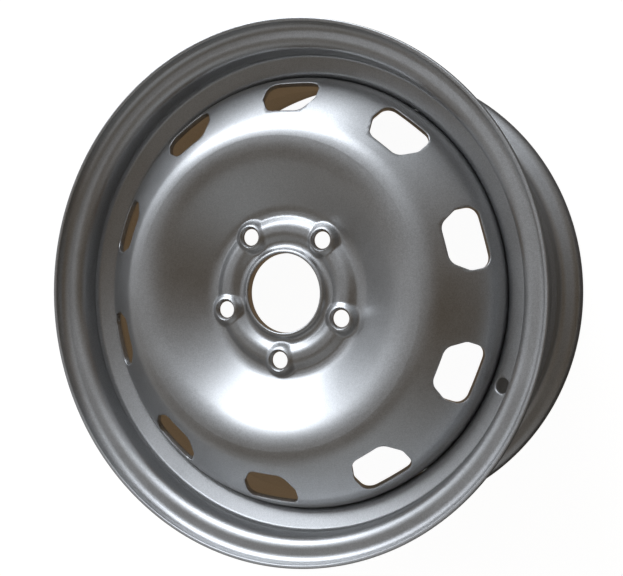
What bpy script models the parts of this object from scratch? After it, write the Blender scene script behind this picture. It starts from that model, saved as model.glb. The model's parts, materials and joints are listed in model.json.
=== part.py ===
"""Steel wheel rim for a road vehicle: a 6.5 x 16 inch roll-formed rim with a pressed disc welded into it.

The wheel lies on its inboard flange. The axis of rotation is Z and the outboard face looks up, +Z.
Lengths are in metres and angles in degrees. Sections are drawn as (radius, height) in the XZ plane,
with the height measured from the wheel's centre plane, and an empty then lifts the wheel onto z = 0.
"""

import math

import bmesh
import bpy
from mathutils import Matrix, Vector

# Rim contour
RIM_WIDTH = 0.1651             # between the tyre-side faces of the two flanges
SEAT_DIAMETER = 0.4056         # where the bead seat would meet the flange face
SEAT_TAPER = 5.0               # the bead seats fall towards the well
FLANGE_HEIGHT = 0.0175         # above the bead seat diameter
FLANGE_RADIUS = 0.0095         # tyre side of the rolled flange
FLANGE_HOOK = 16.0             # how far the lip turns on past the top of its roll
LIP_LENGTH = 0.0012            # straight stretch at the sheared end of the lip
SEAT_CORNER_RADIUS = 0.0065
HUMP_DISTANCE = 0.0210         # crest of the safety hump, from the flange face
HUMP_HEIGHT = 0.0017
HUMP_RUN = 0.0036              # from the foot of the hump to its crest
WALL_DISTANCE = 0.0268         # top of the well's outboard wall, from the flange face
WALL_ANGLE = 25.0              # of that wall, from a plane across the axis
WALL_TOP_RADIUS = 0.0065
WELL_DEPTH = 0.0175            # below the bead seat diameter
WELL_WIDTH = 0.0440
WELL_RADIUS = 0.0050
RAMP_ANGLE = 22.0              # inboard side of the well, from the axis
LEDGE_DEPTH = 0.0045           # of the level stretch before the inboard hump, below the seat diameter
LEDGE_RADIUS = 0.0120
RIM_THICKNESS = 0.0028
SHEAR_RADIUS = 0.0008          # worn edges of the sheared sheet

# Disc, from the bore outwards
WHEEL_OFFSET = 0.0600          # mounting face, outboard of the centre plane
DISC_THICKNESS = 0.0045
BORE_DIAMETER = 0.0666
BORE_LIP_HEIGHT = 0.0041       # the bore's edge stands above the ring around it
BORE_LIP_WIDTH = 0.0027
BORE_LIP_FLANK = 0.0026
BORE_EDGE_RADIUS = 0.0015
BOLT_COUNT = 5
BOLT_CIRCLE_DIAMETER = 0.1120
FIRST_BOLT_ANGLE = 90.0
HUB_RING_WIDTH = 0.0044        # flat ring between the bore's lip and the ridge
RIDGE_WIDTH = 0.0215           # of the ring that carries the bolt holes, from foot to foot
RIDGE_HEIGHT = 0.0040
RIDGE_FLANK = 0.0065           # width of each sloping flank
RIDGE_FOOT_RADIUS = 0.0040
RIDGE_CREST_RADIUS = 0.0100
SEAT_RING_WIDTH = 0.0065       # outer ring that bears on the hub, up to the foot of the bowl
BOWL_FOOT_RADIUS = 0.0150
BOWL_ANGLE = 32.0
CROWN_RADIUS = 0.0420
SHOULDER_ANGLE = 42.0          # the sloping band with the windows
SHOULDER_RADIUS = 0.0180       # where the band turns down into the flange
SHOULDER_RISE = 0.0060         # its corner stands outboard of the corner of the well
DISC_FLANGE_LENGTH = 0.0380    # from that corner to the inboard end

# Bolt holes
BOLT_HOLE_DIAMETER = 0.0140
BOLT_SEAT_DEPTH = 0.0030
BOLT_SEAT_ANGLE = 60.0         # included angle of the cone
BOSS_HEIGHT = 0.0065           # above the ring around the bore
BOSS_TOP_DIAMETER = 0.0205
BOSS_BASE_DIAMETER = 0.0290
BOSS_EDGE_RADIUS = 0.0015
BOSS_ROOT_DEPTH = 0.0003       # how far the boss starts inside the sheet below it
RECESS_MOUTH_DIAMETER = 0.0210
RECESS_ROOF_DIAMETER = 0.0165

# Ventilation windows
WINDOW_COUNT = 10
WINDOW_HEIGHT = 0.0342         # along the slope
WINDOW_WIDTH = 0.0496
WINDOW_INNER_WIDTH = 0.0269    # between the two corners near the axis
WINDOW_SIDE_HEIGHT = 0.0157    # of the parallel part next to the outer edge
WINDOW_EDGE_DISTANCE = 0.0111  # outer edge of a window, from the corner of the shoulder
WINDOW_INNER_RADIUS = 0.0070
WINDOW_SIDE_RADIUS = 0.0100
WINDOW_OUTER_RADIUS = 0.0090

# Valve hole
VALVE_HOLE_DIAMETER = 0.0115
VALVE_HOLE_DISTANCE = 0.0105   # up the wall, from the corner of the well
VALVE_BOLT_NUMBER = 4          # the hole lies in line with this bolt hole

# Weld between disc and rim
WELD_COUNT = 10
WELD_ANGLE = 24.0              # of the circle, for each bead
WELD_DISC_LEG = 0.0040
WELD_RIM_LEG = 0.0055
WELD_BULGE = 0.0008

CLEARANCE = 0.0003             # between pieces that touch
CUT_MARGIN = 0.0040            # cutters stand this far out of what they cut

ROUND_FACETS = 60
HOLE_FACETS = 16
ARC_SAG = 0.00056               # of the flats that follow an arc of a section

# Levels that several sections share
SEAT_R = SEAT_DIAMETER / 2
FLANGE_FACE_Z = RIM_WIDTH / 2
WELL_R = SEAT_R - WELL_DEPTH
DISC_R = WELL_R - RIM_THICKNESS - CLEARANCE
BORE_R = BORE_DIAMETER / 2
BOLT_R = BOLT_CIRCLE_DIAMETER / 2
HUB_FRONT_Z = WHEEL_OFFSET + DISC_THICKNESS
BOSS_TOP_Z = HUB_FRONT_Z + BOSS_HEIGHT


def clear_scene():
    """Remove what a new file holds."""
    for item in list(bpy.data.objects):
        bpy.data.objects.remove(item, do_unlink=True)


def new_collection(name):
    collection = bpy.data.collections.new(name)
    bpy.context.scene.collection.children.link(collection)
    return collection


def painted_steel(name, colour, roughness, metallic):
    """A Principled material."""
    material = bpy.data.materials.new(name)
    material.use_nodes = True
    shader = material.node_tree.nodes["Principled BSDF"]
    shader.inputs["Base Color"].default_value = (*colour, 1.0)
    shader.inputs["Roughness"].default_value = roughness
    shader.inputs["Metallic"].default_value = metallic
    return material


def polar(radius, angle, z):
    """Point at a radius and an angle in degrees about the axis."""
    turn = math.radians(angle)
    return Vector((radius * math.cos(turn), radius * math.sin(turn), z))


def rounded(corners):
    """Closed outline through corners (x, z, radius), with an arc in place of each corner.

    Where two arcs would meet on one side, both shrink until they fit. A shallow corner that lies as
    close to its arc as the flats do stays a corner.
    """
    count = len(corners)
    places = [Vector(corner[:2]) for corner in corners]
    turns = []
    reaches = []
    for i, corner in enumerate(corners):
        arriving = places[i] - places[i - 1]
        leaving = places[(i + 1) % count] - places[i]
        turn = math.atan2(arriving.x * leaving.y - arriving.y * leaving.x, arriving.dot(leaving))
        turns.append(turn)
        reaches.append(corner[2] * math.tan(abs(turn) / 2))
    outline = []
    for i, corner in enumerate(corners):
        shrink = 1.0
        for j in (i - 1, (i + 1) % count):
            wanted = reaches[i] + reaches[j]
            if wanted > 0:
                shrink = min(shrink, 0.999 * (places[i] - places[j]).length / wanted)
        radius = corner[2] * shrink
        if radius * (1 / math.cos(turns[i] / 2) - 1) <= min(ARC_SAG, radius / 4):
            outline.append(places[i])
            continue
        reach = reaches[i] * shrink
        arriving = (places[i] - places[i - 1]).normalized()
        side = Vector((-arriving.y, arriving.x)) * math.copysign(1.0, turns[i])
        start = places[i] - arriving * reach
        centre = start + side * radius
        step = 2 * math.acos(max(1 - ARC_SAG / radius, 0.5))
        steps = max(1, math.ceil(abs(turns[i]) / step))
        for k in range(steps + 1):
            outline.append(centre + Matrix.Rotation(turns[i] * k / steps, 2) @ (start - centre))
    return outline


def offset_path(corners, distance):
    """The same open path of corners (x, z, radius), shifted to its right-hand side by a sheet's thickness."""
    places = [Vector(corner[:2]) for corner in corners]
    directions = [(b - a).normalized() for a, b in zip(places, places[1:])]
    shifts = [Vector((way.y, -way.x)) * distance for way in directions]
    shifted = [(*(places[0] + shifts[0]), corners[0][2])]
    for i in range(1, len(corners) - 1):
        before, after = directions[i - 1], directions[i]
        turn = before.x * after.y - before.y * after.x
        middle = (shifts[i - 1] + shifts[i]).normalized()
        reach = distance / middle.dot(shifts[i].normalized())
        radius = corners[i][2] + math.copysign(distance, turn)
        shifted.append((*(places[i] + middle * reach), max(radius, 0.0)))
    shifted.append((*(places[-1] + shifts[-1]), corners[-1][2]))
    return shifted


def crossing(point, angle, other, other_angle):
    """Where two lines meet, each given by a point and its slope in degrees."""
    way = Vector((math.cos(math.radians(angle)), math.sin(math.radians(angle))))
    other_way = Vector((math.cos(math.radians(other_angle)), math.sin(math.radians(other_angle))))
    apart = Vector(other) - Vector(point)
    along = (apart.x * other_way.y - apart.y * other_way.x) / (way.x * other_way.y - way.y * other_way.x)
    return Vector(point) + way * along


def seat_height(distance):
    """Radius of a bead seat at a distance from its flange face."""
    return SEAT_R - distance * math.tan(math.radians(SEAT_TAPER))


def flange_corners():
    """Tyre side of a rolled flange, as (radius, distance inboard of the flange face, corner radius)."""
    hook = math.radians(FLANGE_HOOK)
    top_r = SEAT_R + FLANGE_HEIGHT
    hook_a = -FLANGE_RADIUS * (1 + math.tan(hook / 2))
    lip = FLANGE_RADIUS * math.tan(hook / 2) + LIP_LENGTH
    return [
        (top_r - lip * math.sin(hook), hook_a - lip * math.cos(hook), SHEAR_RADIUS),
        (top_r, hook_a, FLANGE_RADIUS),
        (top_r, 0.0, FLANGE_RADIUS),
        (SEAT_R, 0.0, SEAT_CORNER_RADIUS),
    ]


def hump_corners():
    """Bead seat's end and safety hump, measured like the flange."""
    foot = HUMP_DISTANCE - HUMP_RUN
    return [
        (seat_height(foot), foot, HUMP_RUN),
        (seat_height(HUMP_DISTANCE) + HUMP_HEIGHT, HUMP_DISTANCE, HUMP_RUN),
    ]


def well_corner_distance():
    """Tyre-side corner between the well's outboard wall and its floor, from the outboard flange face."""
    drop = seat_height(WALL_DISTANCE) - WELL_R
    return WALL_DISTANCE + drop * math.tan(math.radians(WALL_ANGLE))


def inner_well_corner_z():
    """Height of the same corner on the side that faces the axis."""
    lean = math.radians(90 - WALL_ANGLE) / 2
    return FLANGE_FACE_Z - well_corner_distance() + RIM_THICKNESS * math.tan(lean)


def rim_path():
    """Tyre side of the rim, from the outboard lip down to the inboard lip."""
    well_start = well_corner_distance()
    well_end = well_start + WELL_WIDTH
    ledge_r = SEAT_R - LEDGE_DEPTH
    ledge_start = well_end + (ledge_r - WELL_R) / math.tan(math.radians(RAMP_ANGLE))
    ledge_end = RIM_WIDTH - HUMP_DISTANCE - 2 * HUMP_RUN
    outboard = flange_corners() + hump_corners() + [
        (seat_height(WALL_DISTANCE), WALL_DISTANCE, WALL_TOP_RADIUS),
        (WELL_R, well_start, WELL_RADIUS),
        (WELL_R, well_end, WELL_RADIUS),
        (ledge_r, ledge_start, LEDGE_RADIUS),
        (ledge_r, ledge_end, HUMP_RUN),
    ]
    inboard = [(r, RIM_WIDTH - a, radius) for r, a, radius in flange_corners() + hump_corners()]
    return [(r, FLANGE_FACE_Z - a, radius) for r, a, radius in outboard + inboard[::-1]]


def rim_section():
    tyre_side = rim_path()
    return rounded(tyre_side + offset_path(tyre_side, RIM_THICKNESS)[::-1])


def shoulder_corner():
    """Corner where the disc's sloping band and its flange would meet, on the outboard side."""
    return Vector((DISC_R, inner_well_corner_z() + SHOULDER_RISE))


def disc_path():
    """Outboard side of the disc, from the ring around the bore to the inboard end of the flange."""
    ring_start = BORE_R + BORE_LIP_WIDTH + BORE_LIP_FLANK
    ridge_start = ring_start + HUB_RING_WIDTH
    ridge_end = ridge_start + RIDGE_WIDTH
    crest_z = HUB_FRONT_Z + RIDGE_HEIGHT
    bowl_foot = (ridge_end + SEAT_RING_WIDTH, HUB_FRONT_Z)
    shoulder = shoulder_corner()
    crown = crossing(bowl_foot, BOWL_ANGLE, shoulder, -SHOULDER_ANGLE)
    return [
        (ring_start, HUB_FRONT_Z, BORE_EDGE_RADIUS),
        (ridge_start, HUB_FRONT_Z, RIDGE_FOOT_RADIUS),
        (ridge_start + RIDGE_FLANK, crest_z, RIDGE_CREST_RADIUS),
        (ridge_end - RIDGE_FLANK, crest_z, RIDGE_CREST_RADIUS),
        (ridge_end, HUB_FRONT_Z, RIDGE_FOOT_RADIUS),
        (*bowl_foot, BOWL_FOOT_RADIUS),
        (*crown, CROWN_RADIUS),
        (*shoulder, SHOULDER_RADIUS),
        (DISC_R, shoulder.y - DISC_FLANGE_LENGTH, SHEAR_RADIUS),
    ]


def disc_section():
    """The sheet, with the raised lip of the bore at its inner end."""
    outboard = disc_path()
    inboard = offset_path(outboard, DISC_THICKNESS)
    lip_z = HUB_FRONT_Z + BORE_LIP_HEIGHT
    bore = [
        (BORE_R, WHEEL_OFFSET, BORE_EDGE_RADIUS),
        (BORE_R, lip_z, SHEAR_RADIUS),
        (BORE_R + BORE_LIP_WIDTH, lip_z, BORE_EDGE_RADIUS),
    ]
    return rounded(bore + outboard + inboard[:0:-1])


def link(name, mesh, collection, parent, material=None):
    item = bpy.data.objects.new(name, mesh)
    collection.objects.link(item)
    item.parent = parent
    if material:
        mesh.materials.append(material)
    return item


def smooth(mesh):
    mesh.shade_smooth()
    mesh.set_sharp_from_angle(angle=math.radians(35))


def turned(name, profile, facets, closed, collection, parent, material=None):
    """Lathe an outline of (radius, height) points about Z with a Screw modifier."""
    mesh = bpy.data.meshes.new(name)
    points = [(x, 0.0, z) for x, z in profile]
    last = len(points) if closed else len(points) - 1
    mesh.from_pydata(points, [(i, (i + 1) % len(points)) for i in range(last)], [])
    item = link(name, mesh, collection, parent, material)
    lathe = item.modifiers.new("turn", "SCREW")
    lathe.axis = "Z"
    lathe.steps = facets
    lathe.render_steps = facets
    lathe.use_merge_vertices = True
    lathe.merge_threshold = 0.00001
    lathe.use_smooth_shade = True
    return item


def boolean(target, name, operation, collection):
    """Join or cut with every object of a collection."""
    step = target.modifiers.new(name, "BOOLEAN")
    step.operation = operation
    step.operand_type = "COLLECTION"
    step.collection = collection
    step.solver = "EXACT"


def hide(item):
    """Cutters and boss blanks only shape other pieces."""
    item.hide_render = True
    item.display_type = "WIRE"


def bolt_angles():
    return [FIRST_BOLT_ANGLE + 360.0 * i / BOLT_COUNT for i in range(BOLT_COUNT)]


def boss_blanks(collection, parent):
    """The raised pad around each bolt hole, starting inside the sheet of the ridge."""
    base_z = HUB_FRONT_Z - BOSS_ROOT_DEPTH
    corners = [
        (0.0, BOSS_TOP_Z, 0.0),
        (BOSS_TOP_DIAMETER / 2, BOSS_TOP_Z, BOSS_EDGE_RADIUS),
        (BOSS_BASE_DIAMETER / 2, base_z, 0.0),
        (0.0, base_z, 0.0),
    ]
    for number, angle in enumerate(bolt_angles(), start=1):
        blank = turned(f"boss_blank_{number}", rounded(corners), HOLE_FACETS, False, collection, parent)
        blank.location = polar(BOLT_R, angle, 0.0)
        hide(blank)


def bolt_hole_cutters(collection, parent):
    """Cone seat, hole and the hollow that the pressed boss leaves at the back, in one turned cutter."""
    hole_r = BOLT_HOLE_DIAMETER / 2
    seat_z = BOSS_TOP_Z - BOLT_SEAT_DEPTH
    roof_z = BOSS_TOP_Z - DISC_THICKNESS
    widening = math.tan(math.radians(BOLT_SEAT_ANGLE) / 2)
    top_z = BOSS_TOP_Z + CUT_MARGIN
    profile = [
        (0.0, top_z),
        (hole_r + (top_z - seat_z) * widening, top_z),
        (hole_r, seat_z),
        (hole_r, roof_z),
        (RECESS_ROOF_DIAMETER / 2, roof_z),
        (RECESS_MOUTH_DIAMETER / 2, WHEEL_OFFSET),
        (RECESS_MOUTH_DIAMETER / 2, WHEEL_OFFSET - CUT_MARGIN),
        (0.0, WHEEL_OFFSET - CUT_MARGIN),
    ]
    for number, angle in enumerate(bolt_angles(), start=1):
        cutter = turned(f"bolt_hole_cutter_{number}", profile, HOLE_FACETS, False, collection, parent)
        cutter.location = polar(BOLT_R, angle, 0.0)
        hide(cutter)


def window_outline():
    """Rounded trapezoid in (along the slope, around the axis), its short side towards the axis."""
    inner = -WINDOW_HEIGHT / 2
    outer = WINDOW_HEIGHT / 2
    side = outer - WINDOW_SIDE_HEIGHT
    half = [
        (inner, WINDOW_INNER_WIDTH / 2, WINDOW_INNER_RADIUS),
        (side, WINDOW_WIDTH / 2, WINDOW_SIDE_RADIUS),
        (outer, WINDOW_WIDTH / 2, WINDOW_OUTER_RADIUS),
    ]
    return rounded(half + [(x, -y, radius) for x, y, radius in half[::-1]])


def prism(name, outline, depth, collection, parent):
    """An outline in its own XY plane, pushed out to both sides."""
    shape = bmesh.new()
    face = shape.faces.new([shape.verts.new((x, y, -depth / 2)) for x, y in outline])
    pushed = bmesh.ops.extrude_face_region(shape, geom=[face])
    top = [item for item in pushed["geom"] if isinstance(item, bmesh.types.BMVert)]
    bmesh.ops.translate(shape, verts=top, vec=(0.0, 0.0, depth))
    bmesh.ops.recalc_face_normals(shape, faces=shape.faces)
    mesh = bpy.data.meshes.new(name)
    shape.to_mesh(mesh)
    shape.free()
    return link(name, mesh, collection, parent)


def window_cutters(collection, parent):
    """Windows punched square to the slope, one in line with each bolt hole and one between each two."""
    slope = math.radians(SHOULDER_ANGLE)
    corner = shoulder_corner()
    back = WINDOW_EDGE_DISTANCE + WINDOW_HEIGHT / 2
    radius = corner.x - back * math.cos(slope)
    height = corner.y + back * math.sin(slope)
    depth = 2 * (DISC_THICKNESS + CROWN_RADIUS * (1 - math.cos(slope)) + CUT_MARGIN)
    for number in range(1, WINDOW_COUNT + 1):
        angle = FIRST_BOLT_ANGLE + 360.0 * (number - 1) / WINDOW_COUNT
        cutter = prism(f"window_cutter_{number}", window_outline(), depth, collection, parent)
        cutter.location = polar(radius, angle, height)
        cutter.rotation_euler = (0.0, slope, math.radians(angle))
        hide(cutter)


def valve_hole_cutter(collection, parent):
    """Round punch square to the well's outboard wall."""
    lean = math.radians(WALL_ANGLE)
    angle = bolt_angles()[VALVE_BOLT_NUMBER - 1]
    radius = WELL_R - RIM_THICKNESS + VALVE_HOLE_DISTANCE * math.cos(lean)
    height = inner_well_corner_z() + VALVE_HOLE_DISTANCE * math.sin(lean)
    shape = bmesh.new()
    bmesh.ops.create_cone(
        shape,
        cap_ends=True,
        segments=HOLE_FACETS,
        radius1=VALVE_HOLE_DIAMETER / 2,
        radius2=VALVE_HOLE_DIAMETER / 2,
        depth=2 * (RIM_THICKNESS + CUT_MARGIN),
    )
    mesh = bpy.data.meshes.new("valve_hole_cutter")
    shape.to_mesh(mesh)
    shape.free()
    cutter = link("valve_hole_cutter", mesh, collection, parent)
    cutter.location = polar(radius, angle, height)
    cutter.rotation_euler = (0.0, -lean, math.radians(angle))
    hide(cutter)


def make_rim(collection, cutters, parent):
    """The roll-formed hoop."""
    paint = painted_steel("rim_paint", (0.46, 0.47, 0.49), 0.38, 0.75)
    rim = turned("rim", rim_section(), ROUND_FACETS, True, collection, parent, paint)
    boolean(rim, "valve hole", "DIFFERENCE", cutters)
    return rim


def make_disc(collection, blanks, cutters, parent):
    """The pressed centre that bolts to the hub."""
    paint = painted_steel("disc_paint", (0.46, 0.47, 0.49), 0.36, 0.75)
    disc = turned("disc", disc_section(), ROUND_FACETS, True, collection, parent, paint)
    boolean(disc, "bolt bosses", "UNION", blanks)
    boolean(disc, "holes and windows", "DIFFERENCE", cutters)
    return disc


def make_weld_bead(number, angle, paint, collection, parent):
    """One fillet weld in the corner between the end of the disc's flange and the floor of the well."""
    top_z = shoulder_corner().y - DISC_FLANGE_LENGTH - CLEARANCE
    bulge = WELD_BULGE / math.sqrt(2)
    section = [
        (DISC_R, top_z),
        (DISC_R, top_z - WELD_RIM_LEG),
        (DISC_R - WELD_DISC_LEG / 2 - bulge, top_z - WELD_RIM_LEG / 2 - bulge),
        (DISC_R - WELD_DISC_LEG, top_z),
    ]
    shape = bmesh.new()
    start = angle - WELD_ANGLE / 2
    face = shape.faces.new([shape.verts.new(polar(r, start, z)) for r, z in section])
    bmesh.ops.spin(
        shape,
        geom=[face],
        cent=(0.0, 0.0, 0.0),
        axis=(0.0, 0.0, 1.0),
        angle=math.radians(WELD_ANGLE),
        steps=math.ceil(ROUND_FACETS * WELD_ANGLE / 360),
    )
    bmesh.ops.recalc_face_normals(shape, faces=shape.faces)
    mesh = bpy.data.meshes.new(f"weld_bead_{number}")
    shape.to_mesh(mesh)
    shape.free()
    smooth(mesh)
    return link(f"weld_bead_{number}", mesh, collection, parent, paint)


def half_height():
    """The lips reach this far from the centre plane."""
    return max(z for r, z in rim_section())


def build_wheel():
    clear_scene()
    pieces = new_collection("steel_wheel_rim")
    blanks = new_collection("boss_blanks")
    disc_cutters = new_collection("disc_cutters")
    rim_cutters = new_collection("rim_cutters")
    wheel = bpy.data.objects.new("wheel_centre", None)
    pieces.objects.link(wheel)
    wheel.location.z = half_height()

    boss_blanks(blanks, wheel)
    bolt_hole_cutters(disc_cutters, wheel)
    window_cutters(disc_cutters, wheel)
    valve_hole_cutter(rim_cutters, wheel)
    make_rim(pieces, rim_cutters, wheel)
    make_disc(pieces, blanks, disc_cutters, wheel)
    weld_paint = painted_steel("weld_paint", (0.38, 0.39, 0.40), 0.50, 0.75)
    for number in range(1, WELD_COUNT + 1):
        angle = FIRST_BOLT_ANGLE + 360.0 * (number - 0.5) / WELD_COUNT
        make_weld_bead(number, angle, weld_paint, pieces, wheel)


build_wheel()
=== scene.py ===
"""Looks of a silver-painted pressed steel wheel rim, lying on its inboard flange.

The wheel is made again here in fine steps, so that its rolled, pressed and punched edges are as round
as on the real one. The hoop and the hub keep the sizes of the solids within about 1 mm. The disc's bowl,
crown, shoulder and windows, and the lean of the flanges' faces, are fitted to the photograph instead,
and stand up to 3.6 mm from the solids. Lengths are in metres and angles in degrees.
"""

import json
import math

import bpy
from mathutils import Matrix, Vector
from mathutils.bvhtree import BVHTree

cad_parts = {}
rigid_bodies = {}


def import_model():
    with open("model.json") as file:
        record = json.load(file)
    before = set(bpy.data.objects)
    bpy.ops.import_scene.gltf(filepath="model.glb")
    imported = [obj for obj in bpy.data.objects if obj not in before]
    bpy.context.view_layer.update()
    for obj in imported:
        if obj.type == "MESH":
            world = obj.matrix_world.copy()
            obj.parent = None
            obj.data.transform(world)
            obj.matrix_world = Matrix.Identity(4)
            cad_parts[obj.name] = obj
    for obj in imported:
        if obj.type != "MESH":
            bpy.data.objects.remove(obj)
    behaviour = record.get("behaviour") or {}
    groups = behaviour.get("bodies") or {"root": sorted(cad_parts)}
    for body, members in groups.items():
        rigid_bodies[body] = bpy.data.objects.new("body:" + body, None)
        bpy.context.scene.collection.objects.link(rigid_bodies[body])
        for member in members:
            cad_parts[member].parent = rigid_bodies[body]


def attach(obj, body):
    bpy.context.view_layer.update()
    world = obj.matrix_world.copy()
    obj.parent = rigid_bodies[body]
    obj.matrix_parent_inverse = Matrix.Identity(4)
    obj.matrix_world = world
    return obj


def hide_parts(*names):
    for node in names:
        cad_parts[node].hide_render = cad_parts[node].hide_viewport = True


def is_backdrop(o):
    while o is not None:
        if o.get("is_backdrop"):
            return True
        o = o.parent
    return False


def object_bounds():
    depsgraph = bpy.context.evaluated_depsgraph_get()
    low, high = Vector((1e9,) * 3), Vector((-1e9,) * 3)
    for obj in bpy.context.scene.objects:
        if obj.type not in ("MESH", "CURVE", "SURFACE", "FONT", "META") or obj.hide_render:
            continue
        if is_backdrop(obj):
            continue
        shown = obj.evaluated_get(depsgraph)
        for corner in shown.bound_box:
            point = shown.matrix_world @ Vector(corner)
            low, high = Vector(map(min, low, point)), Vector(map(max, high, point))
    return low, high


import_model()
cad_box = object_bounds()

# The hoop: a strip of 2.8 mm sheet steel, bent round, butt-welded and rolled to shape, with two hooked
# flanges, two tapered bead seats with a hump each, and the drop-centre well between them. The valve
# hole is punched through the well's steep outboard wall before the disc goes in.

CENTRE_PLANE = 0.0956016       # above the floor
RIM_WIDTH = 0.1651
FLANGE_FACE_Z = RIM_WIDTH / 2
SEAT_R = 0.2028
SEAT_TAPER = 5.0
FLANGE_HEIGHT = 0.0175
FLANGE_RADIUS = 0.0095
FLANGE_HOOK = 16.0
FLANGE_LEAN = 6.0              # of its face, toward the axis
LIP_LENGTH = 0.0012
SEAT_CORNER_RADIUS = 0.0065
HUMP_DISTANCE = 0.0210
HUMP_HEIGHT = 0.0017
HUMP_RUN = 0.0036
WALL_DISTANCE = 0.0268
WALL_ANGLE = 25.0
WALL_TOP_RADIUS = 0.0065
WELL_R = SEAT_R - 0.0175
WELL_WIDTH = 0.0440
WELL_RADIUS = 0.0050
RAMP_ANGLE = 22.0
LEDGE_R = SEAT_R - 0.0045
LEDGE_RADIUS = 0.0120
RIM_SHEET = 0.0028
SHEAR_RADIUS = 0.0008
VALVE_HOLE_R = 0.0060
VALVE_HOLE_RISE = 0.0105       # up the well's wall, from its inner corner
VALVE_HOLE_AZIMUTH = 306.0
PUNCH_EDGE = 0.0005            # radius of a punched edge under its paint
HEIGHT_TRIM = 0.9996           # keeps these finer arcs inside the height of the faceted solids
HOOP_STEPS = 288               # around the axis
SHARP_ANGLE = 38.0             # an edge that turns more than this is drawn sharp


def rounded(corners, arc_step=7.5):
    """Closed outline through corners (x, y, radius), with a fine arc in place of each corner."""
    count = len(corners)
    places = [Vector(corner[:2]) for corner in corners]
    turns, reaches = [], []
    for i, corner in enumerate(corners):
        arriving = places[i] - places[i - 1]
        leaving = places[(i + 1) % count] - places[i]
        turn = math.atan2(arriving.x * leaving.y - arriving.y * leaving.x, arriving.dot(leaving))
        turns.append(turn)
        reaches.append(corner[2] * math.tan(abs(turn) / 2))
    outline = []
    for i, corner in enumerate(corners):
        shrink = 1.0
        for j in (i - 1, (i + 1) % count):
            wanted = reaches[i] + reaches[j]
            if wanted > 0:
                shrink = min(shrink, 0.999 * (places[i] - places[j]).length / wanted)
        radius = corner[2] * shrink
        if radius < 1e-6:
            outline.append(places[i])
            continue
        arriving = (places[i] - places[i - 1]).normalized()
        side = Vector((-arriving.y, arriving.x)) * math.copysign(1.0, turns[i])
        start = places[i] - arriving * reaches[i] * shrink
        centre = start + side * radius
        steps = max(2, math.ceil(abs(math.degrees(turns[i])) / arc_step))
        for k in range(steps + 1):
            outline.append(centre + Matrix.Rotation(turns[i] * k / steps, 2) @ (start - centre))
    return outline


def sheet_back(corners, thickness):
    """The other side of a sheet whose first side is an open path of corners (x, y, radius)."""
    places = [Vector(corner[:2]) for corner in corners]
    directions = [(b - a).normalized() for a, b in zip(places, places[1:])]
    shifts = [Vector((way.y, -way.x)) * thickness for way in directions]
    back = [(*(places[0] + shifts[0]), corners[0][2])]
    for i in range(1, len(corners) - 1):
        before, after = directions[i - 1], directions[i]
        turn = before.x * after.y - before.y * after.x
        middle = (shifts[i - 1] + shifts[i]).normalized()
        reach = thickness / middle.dot(shifts[i].normalized())
        radius = corners[i][2] + math.copysign(thickness, turn)
        back.append((*(places[i] + middle * reach), max(radius, 0.0)))
    back.append((*(places[-1] + shifts[-1]), corners[-1][2]))
    return back


def spaced(outline, longest):
    """The same closed outline with no stretch longer than longest(middle point)."""
    points = []
    for a, b in zip(outline, outline[1:] + outline[:1]):
        parts = max(1, math.ceil((b - a).length / longest((a + b) / 2)))
        points += [a.lerp(b, k / parts) for k in range(parts)]
    return points


def turned_mesh(name, outline, azimuths):
    """An outline of (radius, height over the centre plane), turned about the wheel's axis."""
    count = len(outline)
    points = []
    for azimuth in azimuths:
        c, s = math.cos(math.radians(azimuth)), math.sin(math.radians(azimuth))
        points += [(p.x * c, p.x * s, p.y + CENTRE_PLANE) for p in outline]
    faces = []
    for k in range(len(azimuths)):
        here, there = k * count, (k + 1) % len(azimuths) * count
        for i in range(count):
            j = (i + 1) % count
            faces.append((here + i, here + j, there + j, there + i))
    mesh = bpy.data.meshes.new(name)
    mesh.from_pydata(points, [], faces)
    return mesh


def surface_of(mesh):
    return BVHTree.FromPolygons([v.co for v in mesh.vertices], [p.vertices for p in mesh.polygons])


def punch(name, outline, place, sheet, edge, reach):
    """A punch that follows both faces of the sheet, so that it leaves rounded edges there.

    The outline lies in the XY plane of place, and Z points out of the front face.
    """
    count = len(outline)
    normals = []
    for i in range(count):
        along = (outline[(i + 1) % count] - outline[i - 1]).normalized()
        normals.append(Vector((along.y, -along.x)))
    back_to = place.inverted()
    down = (place.to_3x3() @ Vector((0, 0, -1))).normalized()

    def height(x, y, front):
        start = place @ Vector((x, y, reach if front else -reach))
        hit = sheet.ray_cast(start, down if front else -down)[0]
        return (back_to @ hit).z

    lean = math.radians(28)
    rings = []
    for front in (True, False):
        out = 1 if front else -1
        ring = []
        grow = 4 * edge
        for p, n in zip(outline, normals):
            q = p + n * (edge * (1 - math.sin(lean)) + grow)
            ring.append((q.x, q.y, out * reach))
        flare = [ring]
        steps = [(edge * (1 - math.sin(lean)) + grow, edge * (1 - math.cos(lean)) - grow * math.tan(lean))]
        for angle in (28, 48, 69, 90):
            phi = math.radians(angle)
            steps.append((edge * (1 - math.sin(phi)), edge * (1 - math.cos(phi))))
        for shift, depth in steps:
            ring = []
            for p, n in zip(outline, normals):
                q = p + n * shift
                ring.append((q.x, q.y, height(q.x, q.y, front) - out * depth))
            flare.append(ring)
        rings += flare if front else flare[::-1]
    points = [place @ Vector(p) for ring in rings for p in ring]
    faces = [tuple(range(count))]
    for k in range(len(rings) - 1):
        for i in range(count):
            j = (i + 1) % count
            faces.append((k * count + j, k * count + i, (k + 1) * count + i, (k + 1) * count + j))
    faces.append(tuple(range(len(points) - 1, len(points) - 1 - count, -1)))
    mesh = bpy.data.meshes.new(name)
    mesh.from_pydata(points, [], faces)
    mesh.validate()
    cutter = bpy.data.objects.new(name, mesh)
    return cutter


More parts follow.
